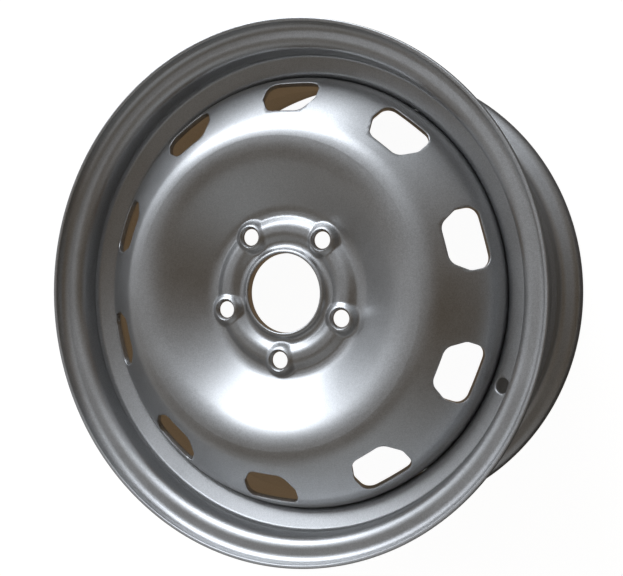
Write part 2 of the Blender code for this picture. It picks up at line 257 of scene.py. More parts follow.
def cut(piece, cutters):
    """Cut every punch out of a piece, and leave the piece as a plain mesh."""
    punches = bpy.data.collections.new(piece.name + "_punches")
    bpy.context.scene.collection.children.link(punches)
    for cutter in cutters:
        punches.objects.link(cutter)
    step = piece.modifiers.new("punches", "BOOLEAN")
    step.operation = "DIFFERENCE"
    step.operand_type = "COLLECTION"
    step.collection = punches
    step.solver = "EXACT"
    ready = piece.evaluated_get(bpy.context.evaluated_depsgraph_get())
    mesh = bpy.data.meshes.new_from_object(ready)
    piece.modifiers.remove(step)
    uncut = piece.data
    piece.data = mesh
    bpy.data.meshes.remove(uncut)
    mesh.name = piece.name
    for cutter in list(punches.objects):
        shape = cutter.data
        bpy.data.objects.remove(cutter)
        bpy.data.meshes.remove(shape)
    bpy.data.collections.remove(punches)


def new_piece(name, mesh):
    piece = bpy.data.objects.new(name, mesh)
    bpy.context.scene.collection.objects.link(piece)
    return piece


def on_wheel(radius, azimuth, height):
    turn = math.radians(azimuth)
    return Vector((radius * math.cos(turn), radius * math.sin(turn), height + CENTRE_PLANE))


def seat_height(distance):
    return SEAT_R - distance * math.tan(math.radians(SEAT_TAPER))


def flange_and_hump():
    """Tyre side, as (radius, distance inboard of the flange face, corner radius)."""
    hook = math.radians(FLANGE_HOOK)
    top_r = SEAT_R + FLANGE_HEIGHT
    hook_a = -FLANGE_RADIUS * (1 + math.tan(hook / 2))
    lip = FLANGE_RADIUS * math.tan(hook / 2) + LIP_LENGTH
    foot = HUMP_DISTANCE - HUMP_RUN
    return [
        (top_r - lip * math.sin(hook), hook_a - lip * math.cos(hook), SHEAR_RADIUS),
        (top_r, hook_a, FLANGE_RADIUS),
        (top_r, 0.0, FLANGE_RADIUS),
        (SEAT_R, FLANGE_HEIGHT * math.tan(math.radians(FLANGE_LEAN)), SEAT_CORNER_RADIUS),
        (seat_height(foot), foot, HUMP_RUN),
        (seat_height(HUMP_DISTANCE) + HUMP_HEIGHT, HUMP_DISTANCE, HUMP_RUN),
    ]


well_start = WALL_DISTANCE + (seat_height(WALL_DISTANCE) - WELL_R) * math.tan(math.radians(WALL_ANGLE))
well_end = well_start + WELL_WIDTH
inner_well_corner_z = FLANGE_FACE_Z - well_start + RIM_SHEET * math.tan(math.radians(90 - WALL_ANGLE) / 2)
tyre_side = flange_and_hump() + [
    (seat_height(WALL_DISTANCE), WALL_DISTANCE, WALL_TOP_RADIUS),
    (WELL_R, well_start, WELL_RADIUS),
    (WELL_R, well_end, WELL_RADIUS),
    (LEDGE_R, well_end + (LEDGE_R - WELL_R) / math.tan(math.radians(RAMP_ANGLE)), LEDGE_RADIUS),
    (LEDGE_R, RIM_WIDTH - HUMP_DISTANCE - 2 * HUMP_RUN, HUMP_RUN),
] + [(r, RIM_WIDTH - a, radius) for r, a, radius in flange_and_hump()[::-1]]
tyre_side = [(r, FLANGE_FACE_Z - a, radius) for r, a, radius in tyre_side]
rim_outline = [
    Vector((p.x, p.y * HEIGHT_TRIM)) for p in rounded(tyre_side + sheet_back(tyre_side, RIM_SHEET)[::-1])
]
rim_outline = spaced(rim_outline, lambda middle: 0.012)
hoop_azimuths = [360 / HOOP_STEPS * k for k in range(HOOP_STEPS)]
rim = new_piece("rim_hoop", turned_mesh("rim_hoop", rim_outline, hoop_azimuths))

wall_lean = math.radians(WALL_ANGLE)
valve_place = Matrix.Translation(on_wheel(
    WELL_R - RIM_SHEET + VALVE_HOLE_RISE * math.cos(wall_lean),
    VALVE_HOLE_AZIMUTH,
    inner_well_corner_z + VALVE_HOLE_RISE * math.sin(wall_lean),
))
valve_place = valve_place @ Matrix.Rotation(math.radians(VALVE_HOLE_AZIMUTH), 4, "Z")
valve_place = valve_place @ Matrix.Rotation(-wall_lean, 4, "Y")
valve_circle = [
    Vector((VALVE_HOLE_R, 0)) @ Matrix.Rotation(math.radians(-7.5 * k), 2) for k in range(48)
]
cut(rim, [punch("valve_punch", valve_circle, valve_place, surface_of(rim.data), PUNCH_EDGE, 0.008)])
rim.data.shade_smooth()
rim.data.set_sharp_from_angle(angle=math.radians(SHARP_ANGLE))


def group_of(name, inputs, outputs):
    """A new shader node group, with its input and output nodes."""
    group = bpy.data.node_groups.new(name, "ShaderNodeTree")
    for label, kind, value in inputs:
        socket = group.interface.new_socket(label, in_out="INPUT", socket_type=kind)
        if value is not None:
            socket.default_value = value
    for label, kind in outputs:
        group.interface.new_socket(label, in_out="OUTPUT", socket_type=kind)
    return group, group.nodes.new("NodeGroupInput"), group.nodes.new("NodeGroupOutput")


def link(tree, source, target):
    tree.links.new(source, target)


def noise_node(tree, place, scale, detail, roughness=0.5):
    noise = tree.nodes.new("ShaderNodeTexNoise")
    noise.inputs["Scale"].default_value = scale
    noise.inputs["Detail"].default_value = detail
    noise.inputs["Roughness"].default_value = roughness
    link(tree, place, noise.inputs["Vector"])
    return noise


def math_node(tree, operation, first, second=None, third=None):
    node = tree.nodes.new("ShaderNodeMath")
    node.operation = operation
    for socket, value in zip(node.inputs, (first, second, third)):
        if value is None:
            continue
        if isinstance(value, (int, float)):
            socket.default_value = value
        else:
            link(tree, value, socket)
    return node.outputs[0]


def spread_node(tree, value, low, high, to_low, to_high):
    """Map a value from one range to another, held at both ends."""
    node = tree.nodes.new("ShaderNodeMapRange")
    node.inputs["From Min"].default_value = low
    node.inputs["From Max"].default_value = high
    node.inputs["To Min"].default_value = to_low
    node.inputs["To Max"].default_value = to_high
    link(tree, value, node.inputs["Value"])
    return node.outputs["Result"]


def make_flake_group():
    """Silver base coat: aluminium flakes, slow clouds in the spray, and a fine orange peel."""
    group, given, result = group_of(
        "flake_coat",
        [
            ("Place", "NodeSocketVector", None),
            ("Silver", "NodeSocketColor", (0.5, 0.5, 0.5, 1)),
            ("Flake Size", "NodeSocketFloat", 0.0006),
            ("Flake Contrast", "NodeSocketFloat", 0.1),
            ("Roughness", "NodeSocketFloat", 0.35),
        ],
        [("Colour", "NodeSocketColor"), ("Roughness", "NodeSocketFloat"), ("Height", "NodeSocketFloat")],
    )
    place = given.outputs["Place"]
    flakes = group.nodes.new("ShaderNodeTexVoronoi")
    link(group, place, flakes.inputs["Vector"])
    link(group, math_node(group, "DIVIDE", 1.0, given.outputs["Flake Size"]), flakes.inputs["Scale"])
    tint = group.nodes.new("ShaderNodeSeparateColor")
    link(group, flakes.outputs["Color"], tint.inputs["Color"])
    flake = math_node(group, "SUBTRACT", tint.outputs["Red"], 0.5)
    flake = math_node(group, "MULTIPLY", flake, given.outputs["Flake Contrast"])
    clouds = noise_node(group, place, 22.0, 3.0)
    cloud = spread_node(group, clouds.outputs["Fac"], 0.3, 0.7, -0.03, 0.03)
    shade = math_node(group, "ADD", math_node(group, "ADD", flake, cloud), 1.0)
    coat = group.nodes.new("ShaderNodeVectorMath")
    coat.operation = "SCALE"
    link(group, given.outputs["Silver"], coat.inputs[0])
    link(group, shade, coat.inputs["Scale"])
    link(group, coat.outputs[0], result.inputs["Colour"])
    uneven = spread_node(group, clouds.outputs["Fac"], 0.3, 0.7, -0.02, 0.03)
    rough = math_node(group, "ADD", given.outputs["Roughness"], uneven)
    rough = math_node(group, "ADD", rough, math_node(group, "MULTIPLY", flake, 0.3))
    link(group, rough, result.inputs["Roughness"])
    peel = noise_node(group, place, 480.0, 1.5)
    link(group, peel.outputs["Fac"], result.inputs["Height"])
    return group


def make_ring_group():
    """Faint rings that rolling and drawing leave around the axis of the wheel."""
    group, given, result = group_of(
        "ring_marks",
        [("Place", "NodeSocketVector", None), ("Rings", "NodeSocketFloat", 700.0)],
        [("Height", "NodeSocketFloat")],
    )
    parts = group.nodes.new("ShaderNodeSeparateXYZ")
    link(group, given.outputs["Place"], parts.inputs[0])
    across = math_node(group, "MULTIPLY", parts.outputs["X"], parts.outputs["X"])
    across = math_node(group, "MULTIPLY_ADD", parts.outputs["Y"], parts.outputs["Y"], across)
    radius = math_node(group, "SQRT", across)
    ring = group.nodes.new("ShaderNodeCombineXYZ")
    link(group, radius, ring.inputs["X"])
    link(group, parts.outputs["Z"], ring.inputs["Y"])
    fine = noise_node(group, ring.outputs[0], 700.0, 2.0)
    link(group, given.outputs["Rings"], fine.inputs["Scale"])
    patches = noise_node(group, given.outputs["Place"], 14.0, 1.0)
    patch = spread_node(group, patches.outputs["Fac"], 0.35, 0.75, 0.2, 1.0)
    link(group, math_node(group, "MULTIPLY", fine.outputs["Fac"], patch), result.inputs["Height"])
    return group


def make_spot_group():
    """A small round fault in the paint: 1 at its middle, falling to 0 at its rim."""
    group, given, result = group_of(
        "paint_spot",
        [
            ("Place", "NodeSocketVector", None),
            ("Centre", "NodeSocketVector", (0, 0, 0)),
            ("Radius", "NodeSocketFloat", 0.001),
        ],
        [("Mask", "NodeSocketFloat")],
    )
    ragged = noise_node(group, given.outputs["Place"], 900.0, 2.0)
    apart = group.nodes.new("ShaderNodeVectorMath")
    apart.operation = "DISTANCE"
    link(group, given.outputs["Place"], apart.inputs[0])
    link(group, given.outputs["Centre"], apart.inputs[1])
    near = math_node(group, "DIVIDE", apart.outputs["Value"], given.outputs["Radius"])
    near = math_node(group, "MULTIPLY_ADD", ragged.outputs["Fac"], 0.5, near)
    link(group, spread_node(group, near, 0.65, 1.25, 1.0, 0.0), result.inputs["Mask"])
    return group


def add_spot(material, centre, radius):
    """The mask of one spot, ready in a material."""
    tree = material.node_tree
    spot = tree.nodes.new("ShaderNodeGroup")
    spot.node_tree = spot_group
    spot.inputs["Centre"].default_value = centre
    spot.inputs["Radius"].default_value = radius
    link(tree, tree.nodes.new("ShaderNodeTexCoord").outputs["Object"], spot.inputs["Place"])
    return spot.outputs["Mask"]


spot_group = make_spot_group()
flake_group = make_flake_group()
ring_group = make_ring_group()


def silver_paint(name, silver, roughness, flake_contrast, rings, ring_depth):
    """Silver stoving paint over a rolled or pressed surface, under a thin clear coat."""
    material = bpy.data.materials.new(name)
    material.use_nodes = True
    tree = material.node_tree
    shader = tree.nodes["Principled BSDF"]
    shader.inputs["Metallic"].default_value = 0.97
    shader.inputs["Coat Weight"].default_value = 0.12
    shader.inputs["Coat Roughness"].default_value = 0.16
    place = tree.nodes.new("ShaderNodeTexCoord").outputs["Object"]
    coat = tree.nodes.new("ShaderNodeGroup")
    coat.node_tree = flake_group
    coat.inputs["Silver"].default_value = (*silver, 1)
    coat.inputs["Flake Contrast"].default_value = flake_contrast
    coat.inputs["Roughness"].default_value = roughness
    link(tree, place, coat.inputs["Place"])
    link(tree, coat.outputs["Colour"], shader.inputs["Base Color"])
    link(tree, coat.outputs["Roughness"], shader.inputs["Roughness"])
    marks = tree.nodes.new("ShaderNodeGroup")
    marks.node_tree = ring_group
    marks.inputs["Rings"].default_value = rings
    link(tree, place, marks.inputs["Place"])
    relief = math_node(tree, "MULTIPLY", marks.outputs["Height"], ring_depth)
    relief = math_node(tree, "MULTIPLY_ADD", coat.outputs["Height"], 0.000010, relief)
    bump = tree.nodes.new("ShaderNodeBump")
    bump.name = "relief"
    bump.inputs["Strength"].default_value = 1.0
    bump.inputs["Distance"].default_value = 1.0
    link(tree, relief, bump.inputs["Height"])
    link(tree, bump.outputs["Normal"], shader.inputs["Normal"])
    return material


def raise_relief(material, mask, height):
    tree = material.node_tree
    target = tree.nodes["relief"].inputs["Height"]
    before = target.links[0].from_socket
    link(tree, math_node(tree, "MULTIPLY_ADD", mask, height, before), target)


def stain(material, mask, colour):
    tree = material.node_tree
    target = tree.nodes["Principled BSDF"].inputs["Base Color"]
    before = target.links[0].from_socket
    mix = tree.nodes.new("ShaderNodeMix")
    mix.data_type = "RGBA"
    link(tree, mask, mix.inputs["Factor"])
    link(tree, before, mix.inputs[6])
    mix.inputs[7].default_value = (*colour, 1)
    link(tree, mix.outputs[2], target)


SILVER = (0.495, 0.50, 0.505)
rim_paint = silver_paint("rim_paint", SILVER, 0.40, 0.24, 420.0, 0.000012)
chip = add_spot(rim_paint, on_wheel(0.2125, 296.1, FLANGE_FACE_Z + 0.0030), 0.0011)
stain(rim_paint, chip, (0.10, 0.075, 0.06))
raise_relief(rim_paint, chip, -0.00012)
rim.data.materials.append(rim_paint)
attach(rim, "root")
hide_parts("rim")

# The disc: a 4.5 mm blank pressed into a bowl, with a lipped hub bore, a raised ring with five bolt
# bosses, a crown, and a sloping shoulder with ten punched windows. Its turned-down flange is pressed
# into the hoop's well before the two are welded. From the bowl outward its sizes follow the photo.

HUB_BACK_Z = 0.0600
DISC_SHEET = 0.0045
HUB_FRONT_Z = HUB_BACK_Z + DISC_SHEET
DISC_R = WELL_R - RIM_SHEET - 0.0003
BORE_R = 0.0333
BORE_LIP_HEIGHT = 0.0041
BORE_LIP_WIDTH = 0.0027
BORE_LIP_FLANK = 0.0026
BORE_EDGE_RADIUS = 0.0015
BOLT_R = 0.0560
BOLT_AZIMUTHS = [90.0 + 72.0 * k for k in range(5)]
HUB_RING_WIDTH = 0.0044
RIDGE_WIDTH = 0.0215
RIDGE_HEIGHT = 0.0040
RIDGE_FLANK = 0.0065
RIDGE_FOOT_RADIUS = 0.0040
RIDGE_CREST_RADIUS = 0.0100
SEAT_RING_WIDTH = 0.0065
BOWL_FOOT_RADIUS = 0.0150
BOWL_ANGLE = 35.0
CROWN_Z = 0.0950
CROWN_INNER_RADIUS = 0.0400
CROWN_OUTER_RADIUS = 0.0250
SHOULDER_ANGLE = 36.0
SHOULDER_RADIUS = 0.0280
SHOULDER_RISE = 0.0103
DISC_FLANGE_END = 0.0320       # inboard of the well's inner corner
BOSS_TOP_Z = HUB_FRONT_Z + 0.0065
BOSS_TOP_R = 0.0104
BOSS_BASE_R = 0.0146
BOSS_ROUNDING = 0.0030
BOSS_SKIRT = 0.0025
RECESS_ROOF_R = 0.0085
RECESS_MOUTH_R = 0.0108
RECESS_ROUNDING = 0.0016
BOLT_HOLE_R = 0.0070
BOLT_SEAT_DEPTH = 0.0030
BOLT_SEAT_ANGLE = 60.0
WINDOW_HEIGHT = 0.0325
WINDOW_WIDTH = 0.0476
WINDOW_INNER_WIDTH = 0.0292
WINDOW_SIDE_HEIGHT = 0.0176
WINDOW_EDGE_DISTANCE = 0.0092
WINDOW_CORNER_RADII = (0.0098, 0.0075, 0.0090)   # from the axis outward
WINDOW_PUNCH_EDGE = 0.0006


def crossing(point, angle, other, other_angle):
    """Where two lines meet, each given by a point and its slope."""
    way = Vector((math.cos(math.radians(angle)), math.sin(math.radians(angle))))
    other_way = Vector((math.cos(math.radians(other_angle)), math.sin(math.radians(other_angle))))
    apart = Vector(other) - Vector(point)
    along = (apart.x * other_way.y - apart.y * other_way.x) / (way.x * other_way.y - way.y * other_way.x)
    return Vector(point) + way * along


hub_ring_start = BORE_R + BORE_LIP_WIDTH + BORE_LIP_FLANK
ridge_start = hub_ring_start + HUB_RING_WIDTH
ridge_end = ridge_start + RIDGE_WIDTH
ridge_z = HUB_FRONT_Z + RIDGE_HEIGHT
bowl_foot = (ridge_end + SEAT_RING_WIDTH, HUB_FRONT_Z)
shoulder = Vector((DISC_R, inner_well_corner_z + SHOULDER_RISE))
crown_start = crossing(bowl_foot, BOWL_ANGLE, (0.0, CROWN_Z), 0.0)
crown_end = crossing(shoulder, -SHOULDER_ANGLE, (0.0, CROWN_Z), 0.0)
disc_front = [
    (hub_ring_start, HUB_FRONT_Z, 0.0050),
    (ridge_start, HUB_FRONT_Z, RIDGE_FOOT_RADIUS),
    (ridge_start + RIDGE_FLANK, ridge_z, RIDGE_CREST_RADIUS),
    (ridge_end - RIDGE_FLANK, ridge_z, RIDGE_CREST_RADIUS),
    (ridge_end, HUB_FRONT_Z, RIDGE_FOOT_RADIUS),
    (*bowl_foot, BOWL_FOOT_RADIUS),
    (*crown_start, CROWN_INNER_RADIUS),
    (*crown_end, CROWN_OUTER_RADIUS),
    (*shoulder, SHOULDER_RADIUS),
    (DISC_R, inner_well_corner_z - DISC_FLANGE_END, SHEAR_RADIUS),
]
bore_edge = [
    (BORE_R, HUB_BACK_Z, BORE_EDGE_RADIUS),
    (BORE_R, HUB_FRONT_Z + BORE_LIP_HEIGHT, 0.0010),
    (BORE_R + BORE_LIP_WIDTH, HUB_FRONT_Z + BORE_LIP_HEIGHT, 0.0030),
]
HUB_ZONE = (0.040, 0.073)      # the radii between which the bosses are raised


def disc_spacing(middle):
    """The longest stretch of the disc's outline: short where the bosses are raised."""
    if not HUB_ZONE[0] < middle.x < HUB_ZONE[1]:
        return 0.006
    return 0.0009 if middle.y > HUB_FRONT_Z - 0.0003 else 0.0016


disc_outline = rounded(bore_edge + disc_front + sheet_back(disc_front, DISC_SHEET)[:0:-1], 9.0)
disc_outline = spaced(disc_outline, disc_spacing)

disc_azimuths = []
azimuth = 0.0
while azimuth < 359.999:
    disc_azimuths.append(azimuth)
    from_boss = abs((azimuth - BOLT_AZIMUTHS[0] + 36.0) % 72.0 - 36.0)
    azimuth += 0.75 if from_boss < 17.9 else 1.5


def soft_max(a, b, blend):
    """The higher of two heights, with a fillet where they cross."""
    near = max(blend - abs(a - b), 0.0) / blend
    return max(a, b) + near * near * blend / 4


def press_bosses(mesh, outline):
    """Raise the pads around the bolt holes, and the hollows that the punch leaves behind them."""
    centres = [on_wheel(BOLT_R, azimuth, 0.0) for azimuth in BOLT_AZIMUTHS]
    count = len(outline)
    for vertex in mesh.vertices:
        i = vertex.index % count
        facing = outline[(i + 1) % count].x - outline[i - 1].x
        if not HUB_ZONE[0] < outline[i].x < HUB_ZONE[1]:
            continue
        away = min((vertex.co.xy - centre.xy).length for centre in centres)
        height = vertex.co.z - CENTRE_PLANE
        if facing > 0:
            down = (away - BOSS_TOP_R) / (BOSS_BASE_R - BOSS_TOP_R)
            flank = BOSS_TOP_Z - down * (BOSS_TOP_Z - HUB_FRONT_Z)
            pad = -soft_max(-flank, -BOSS_TOP_Z, BOSS_ROUNDING)
            height = soft_max(height, pad, BOSS_SKIRT)
        else:
            roof = BOSS_TOP_Z - DISC_SHEET
            flank = roof - (away - RECESS_ROOF_R) / (RECESS_MOUTH_R - RECESS_ROOF_R) * (roof - HUB_BACK_Z)
            hollow = -soft_max(-flank, -roof, RECESS_ROUNDING)
            height = soft_max(height, hollow, RECESS_ROUNDING)
        vertex.co.z = height + CENTRE_PLANE


disc = new_piece("disc_pressing", turned_mesh("disc_pressing", disc_outline, disc_azimuths))
press_bosses(disc.data, disc_outline)


def bolt_punch(number, azimuth):
    """Hole, cone seat and the rounded edges of both, turned about the hole's own axis."""
    widening = math.tan(math.radians(BOLT_SEAT_ANGLE) / 2)
    seat_r = BOLT_HOLE_R + BOLT_SEAT_DEPTH * widening
    roof_z = BOSS_TOP_Z - DISC_SHEET
    profile = [
        (seat_r + 0.0012, BOSS_TOP_Z + 0.004),
        (seat_r + 0.0012, BOSS_TOP_Z + 0.0003),
        (seat_r + 0.0004, BOSS_TOP_Z - 0.0001),
        (seat_r - 0.0002, BOSS_TOP_Z - 0.0006),
        (BOLT_HOLE_R + 0.0002, BOSS_TOP_Z - BOLT_SEAT_DEPTH + 0.0003),
        (BOLT_HOLE_R, BOSS_TOP_Z - BOLT_SEAT_DEPTH - 0.0003),
        (BOLT_HOLE_R, roof_z + 0.0005),
        (BOLT_HOLE_R + 0.0002, roof_z + 0.0001),
        (BOLT_HOLE_R + 0.0010, roof_z - 0.0004),
        (BOLT_HOLE_R + 0.0010, HUB_BACK_Z - 0.004),
    ]
    steps = 64
    centre = on_wheel(BOLT_R, azimuth, 0.0)
    points, faces = [], [tuple(range(steps))]
    for r, z in profile:
        for k in range(steps):
            turn = math.tau * k / steps
            points.append((centre.x + r * math.cos(turn), centre.y + r * math.sin(turn), centre.z + z))
    for ring in range(len(profile) - 1):
        for k in range(steps):
            j = (k + 1) % steps
            here, below = ring * steps, (ring + 1) * steps
            faces.append((here + j, here + k, below + k, below + j))
    faces.append(tuple(range(len(points) - 1, len(points) - 1 - steps, -1)))
    mesh = bpy.data.meshes.new(f"bolt_punch_{number}")
    mesh.from_pydata(points, [], faces)
    return bpy.data.objects.new(mesh.name, mesh)


def window_outline():
    """Rounded trapezoid in (along the slope, around the axis), its short side towards the axis."""
    inner, outer = -WINDOW_HEIGHT / 2, WINDOW_HEIGHT / 2
    half = [
        (inner, WINDOW_INNER_WIDTH / 2, WINDOW_CORNER_RADII[0]),
        (outer - WINDOW_SIDE_HEIGHT, WINDOW_WIDTH / 2, WINDOW_CORNER_RADII[1]),
        (outer, WINDOW_WIDTH / 2, WINDOW_CORNER_RADII[2]),
    ]
    corners = [(x, -y, radius) for x, y, radius in half] + half[::-1]
    return spaced(rounded(corners, 9.0), lambda middle: 0.003)


disc_surface = surface_of(disc.data)
slope = math.radians(SHOULDER_ANGLE)
window_back = WINDOW_EDGE_DISTANCE + WINDOW_HEIGHT / 2
punches = [bolt_punch(number, azimuth) for number, azimuth in enumerate(BOLT_AZIMUTHS, start=1)]
for number in range(10):
    azimuth = BOLT_AZIMUTHS[0] + 36.0 * number
    place = Matrix.Translation(on_wheel(
        DISC_R - window_back * math.cos(slope), azimuth, shoulder.y + window_back * math.sin(slope)
    ))
    place = place @ Matrix.Rotation(math.radians(azimuth), 4, "Z") @ Matrix.Rotation(slope, 4, "Y")
    name = f"window_punch_{number + 1}"
    punches.append(punch(name, window_outline(), place, disc_surface, WINDOW_PUNCH_EDGE, 0.016))
cut(disc, punches)
disc.data.shade_smooth()
disc.data.set_sharp_from_angle(angle=math.radians(SHARP_ANGLE))

PAINT_BUMP_HEIGHT = 0.00009
disc_paint = silver_paint("disc_paint", SILVER, 0.38, 0.24, 300.0, 0.000010)
for radius, azimuth, height, size in (
    (0.0917, 162.2, 0.0774, 0.0016), (0.0860, 167.4, 0.0739, 0.0012), (0.0853, 179.8, 0.0734, 0.0015)
):
    bump_mask = add_spot(disc_paint, on_wheel(radius, azimuth, height), size)
    raise_relief(disc_paint, bump_mask, PAINT_BUMP_HEIGHT)
disc.data.materials.append(disc_paint)
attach(disc, "root")
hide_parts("disc")

# The welds: ten beads of weld metal, run in the corner between the end of the disc's flange and the
# floor of the well, and painted with the wheel. Each is a row of overlapping ripples.

BEAD_R = 0.1811
BEAD_Z = 0.0156
BEAD_RADIUS = 0.0019
BEAD_SWEEP = 23.0


def make_bead_tree():
    tree = bpy.data.node_groups.new("weld_run", "GeometryNodeTree")
    sockets = {}
    for label, kind, value in (
        ("Wheel Radius", "NodeSocketFloat", BEAD_R),
        ("Height", "NodeSocketFloat", BEAD_Z + CENTRE_PLANE),
        ("Bead Radius", "NodeSocketFloat", BEAD_RADIUS),
        ("Sweep", "NodeSocketFloat", math.radians(BEAD_SWEEP)),
        ("Beads", "NodeSocketInt", 10),
        ("Ripples", "NodeSocketInt", 26),
        ("Paint", "NodeSocketMaterial", None),
    ):
        socket = tree.interface.new_socket(label, in_out="INPUT", socket_type=kind)
        if value is not None:
            socket.default_value = value
        sockets[label] = socket.identifier
    tree.interface.new_socket("Geometry", in_out="OUTPUT", socket_type="NodeSocketGeometry")
    given = tree.nodes.new("NodeGroupInput")
    result = tree.nodes.new("NodeGroupOutput")

    arc = tree.nodes.new("GeometryNodeCurveArc")
    arc.inputs["Resolution"].default_value = 24
    link(tree, given.outputs["Wheel Radius"], arc.inputs["Radius"])
    half = math_node(tree, "MULTIPLY", given.outputs["Sweep"], -0.5)
    link(tree, half, arc.inputs["Start Angle"])
    link(tree, given.outputs["Sweep"], arc.inputs["Sweep Angle"])
    even = tree.nodes.new("GeometryNodeResampleCurve")
    link(tree, arc.outputs["Curve"], even.inputs["Curve"])
    link(tree, math_node(tree, "MULTIPLY", given.outputs["Ripples"], 4), even.inputs["Count"])

    along = tree.nodes.new("GeometryNodeSplineParameter").outputs["Factor"]
    saw = math_node(tree, "FRACT", math_node(tree, "MULTIPLY", along, given.outputs["Ripples"]))
    ripple = math_node(tree, "MULTIPLY_ADD", math_node(tree, "SQRT", saw), 0.16, 0.86)
    from_end = math_node(tree, "MINIMUM", along, math_node(tree, "SUBTRACT", 1.0, along))
    taper = spread_node(tree, from_end, 0.0, 0.045, 0.0, 1.0)
    taper = math_node(tree, "SQRT", math_node(tree, "MULTIPLY_ADD", taper, 0.9, 0.1))
    thick = math_node(tree, "MULTIPLY", ripple, taper)
    thick = math_node(tree, "MULTIPLY", thick, given.outputs["Bead Radius"])
    profile = tree.nodes.new("GeometryNodeCurvePrimitiveCircle")
    profile.inputs["Resolution"].default_value = 10
    profile.inputs["Radius"].default_value = 1.0
    bead = tree.nodes.new("GeometryNodeCurveToMesh")
    bead.inputs["Fill Caps"].default_value = True
    link(tree, even.outputs["Curve"], bead.inputs["Curve"])
    link(tree, thick, bead.inputs["Scale"])
    link(tree, profile.outputs["Curve"], bead.inputs["Profile Curve"])

    row = tree.nodes.new("GeometryNodeMeshLine")
    link(tree, given.outputs["Beads"], row.inputs["Count"])
    row.inputs["Offset"].default_value = (0, 0, 0)
    lift = tree.nodes.new("ShaderNodeCombineXYZ")
    link(tree, given.outputs["Height"], lift.inputs["Z"])
    link(tree, lift.outputs[0], row.inputs["Start Location"])
    number = tree.nodes.new("GeometryNodeInputIndex").outputs["Index"]
    turn = math_node(tree, "MULTIPLY", math_node(tree, "ADD", number, 0.5), math.radians(36.0))
    turn = math_node(tree, "ADD", turn, math.radians(BOLT_AZIMUTHS[0]))
    spin = tree.nodes.new("ShaderNodeCombineXYZ")
    link(tree, turn, spin.inputs["Z"])
    copies = tree.nodes.new("GeometryNodeInstanceOnPoints")
    link(tree, row.outputs["Mesh"], copies.inputs["Points"])
    link(tree, bead.outputs["Mesh"], copies.inputs["Instance"])
    link(tree, spin.outputs[0], copies.inputs["Rotation"])
    real = tree.nodes.new("GeometryNodeRealizeInstances")
    link(tree, copies.outputs["Instances"], real.inputs["Geometry"])
    paint = tree.nodes.new("GeometryNodeSetMaterial")
    link(tree, real.outputs["Geometry"], paint.inputs["Geometry"])
    link(tree, given.outputs["Paint"], paint.inputs["Material"])
    link(tree, paint.outputs["Geometry"], result.inputs["Geometry"])
    return tree, sockets


weld_paint = silver_paint("weld_paint", (0.40, 0.41, 0.42), 0.46, 0.22, 900.0, 0.000020)
bead_tree, bead_sockets = make_bead_tree()
beads = new_piece("weld_beads", bpy.data.meshes.new("weld_beads"))
weld_run = beads.modifiers.new("weld_run", "NODES")
weld_run.node_group = bead_tree
weld_run[bead_sockets["Paint"]] = weld_paint
bpy.context.view_layer.update()
ready = beads.evaluated_get(bpy.context.evaluated_depsgraph_get())
bead_mesh = bpy.data.meshes.new_from_object(ready)
beads.modifiers.remove(weld_run)
beads.data = bead_mesh
bead_mesh.shade_smooth()
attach(beads, "root")
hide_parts(*[f"weld_bead_{number}" for number in range(1, 11)])

# The studio: a pale floor, a soft sky that is brightest beyond the top of the picture, with three weaker
# patches and a pale band at the horizon, and one large soft lamp in the bright quarter. Camera rays see
# the floor white. Glossy rays see it painted dark near the wheel, as painted shade over the real shadow,
# and white far off, with a weak painted warm glow of its own under the wheel, though it is no lamp. These
# were set by trial against the reflections in the photograph.

floor_mesh = bpy.data.meshes.new("floor")
FLOOR_REACH = 12
floor_corners = [(FLOOR_REACH * x, FLOOR_REACH * y, 0) for x, y in ((-1, -1), (1, -1), (1, 1), (-1, 1))]
floor_mesh.from_pydata(floor_corners, [], [(0, 1, 2, 3)])
floor = new_piece("floor", floor_mesh)
floor_paint = bpy.data.materials.new("floor_paint")
floor_paint.use_nodes = True
floor_tree = floor_paint.node_tree
floor_tree.nodes.remove(floor_tree.nodes["Principled BSDF"])
pale = floor_tree.nodes.new("ShaderNodeBsdfDiffuse")
pale.inputs["Color"].default_value = (0.78, 0.78, 0.78, 1)
shadow_catch = floor_tree.nodes.new("ShaderNodeBsdfDiffuse")
shadow_catch.inputs["Color"].default_value = (0.14, 0.13, 0.12, 1)
glow = floor_tree.nodes.new("ShaderNodeEmission")
backdrop = floor_tree.nodes.new("ShaderNodeAddShader")
link(floor_tree, shadow_catch.outputs[0], backdrop.inputs[0])
link(floor_tree, glow.outputs[0], backdrop.inputs[1])
rays = floor_tree.nodes.new("ShaderNodeLightPath")
camera_ray, glass_ray = rays.outputs["Is Camera Ray"], rays.outputs["Is Transmission Ray"]
direct = math_node(floor_tree, "MAXIMUM", camera_ray, glass_ray)
seen = math_node(floor_tree, "MAXIMUM", direct, rays.outputs["Is Glossy Ray"])
spot = floor_tree.nodes.new("ShaderNodeTexCoord").outputs["Object"]
from_axis = floor_tree.nodes.new("ShaderNodeVectorMath")
from_axis.operation = "LENGTH"
link(floor_tree, spot, from_axis.inputs[0])
# Glossy rays see the floor near the wheel painted dark, as painted shade over the real shadow.
PAINTED_SHADE_TO, WHITE_FROM = 0.6, 4.0     # distances from the axis, for glossy rays
